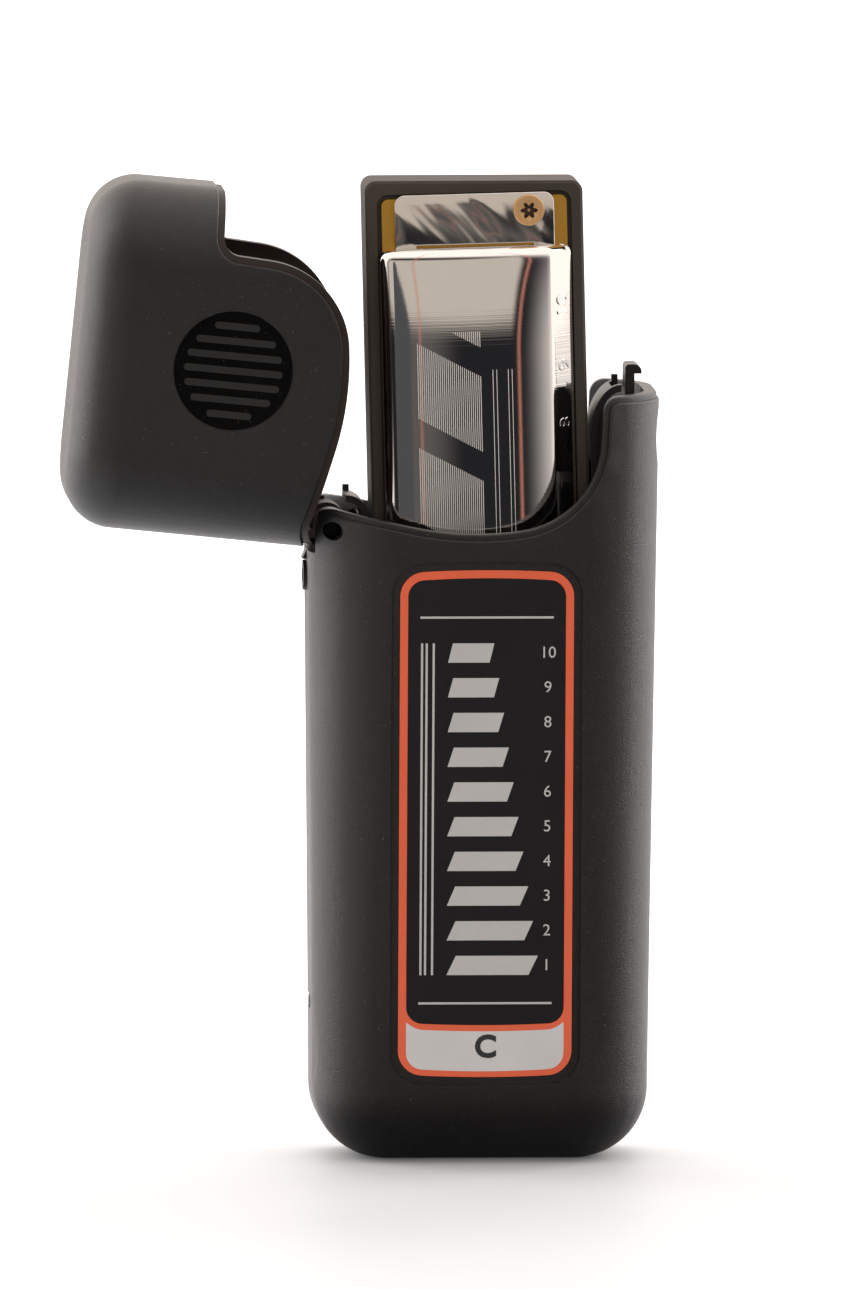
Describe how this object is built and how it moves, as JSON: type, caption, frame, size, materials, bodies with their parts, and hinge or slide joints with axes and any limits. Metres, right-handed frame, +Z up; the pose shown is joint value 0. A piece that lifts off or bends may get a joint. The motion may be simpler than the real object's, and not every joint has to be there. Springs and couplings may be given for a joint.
{
  "type": "harmonica case",
  "caption": "Flip-top pocket case with a pin-hinged lid, a push-button hook latch and a lined pocket, holding a harmonica that stands raised out of its mouth.",
  "frame": {"origin": "centre of the flat foot that the case stands on", "axes": "+Z up the case, +X towards the latch side, -Y towards the label side"},
  "size_m": [0.0768, 0.0288, 0.1267],
  "materials": {
    "case_black": "soft-touch rubberised black, fine pebble, rim-lit sides",
    "liner_black": "smooth satin black moulding",
    "latch_black": "satin black moulding",
    "badge_black": "glossy black with raised matt bars",
    "label_film": "printed black film with an orange border and a white key panel",
    "steel": "plain steel wire and pin",
    "dark_steel": "blackened steel pin",
    "comb_grey": "warm dark grey moulded plastic",
    "reed_brass": "satin brass plate",
    "cover_chrome": "polished chrome sheet with engraved hatching",
    "screw_brass": "turned brass with concentric lines"
  },
  "bodies": {
    "case_body": {"body_shell": "case_black", "body_liner": "liner_black", "liner_screws": "steel", "label": "label_film", "hinge_pin": "dark_steel", "hinge_spring": "steel", "latch_spring": "steel"},
    "latch": {"latch_hook": "latch_black", "latch_button": "latch_black"},
    "lid": {"lid_shell": "case_black", "lid_liner": "liner_black", "lid_badge": "badge_black"},
    "harmonica": {"comb": "comb_grey", "reed_plate_front": "reed_brass", "reed_plate_back": "reed_brass", "reeds_front": "reed_brass", "reeds_back": "reed_brass", "reed_rivets": "reed_brass", "plate_screws": "screw_brass", "cover_front": "cover_chrome", "cover_back": "cover_chrome", "cover_screws": "screw_brass", "cover_nuts": "screw_brass"}
  },
  "joints": [
    {"name": "lid_hinge", "type": "hinge", "parent": "case_body", "child": "lid", "pos_m": [-0.01972, 0, 0.0819], "axis": [0, 1, 0], "range_deg": [0, 84.5], "stiffness_Nm_per_rad": 0.03, "springref_deg": -34.38, "deforming": ["hinge_spring"]},
    {"name": "latch_slide", "type": "slide", "parent": "case_body", "child": "latch", "axis": [-1, 0, 0], "range_m": [0, 0.0015], "stiffness_N_per_m": 400, "springref_m": -0.001, "deforming": ["latch_spring"]},
    {"name": "harmonica_slide", "type": "slide", "parent": "case_body", "child": "harmonica", "axis": [0.0279, 0, -0.9996], "range_m": [0, 0.0214]}
  ],
  "couplings": [
    {"joint": "harmonica_slide", "follows": "lid_hinge", "m_per_rad": 0.0145}
  ]
}
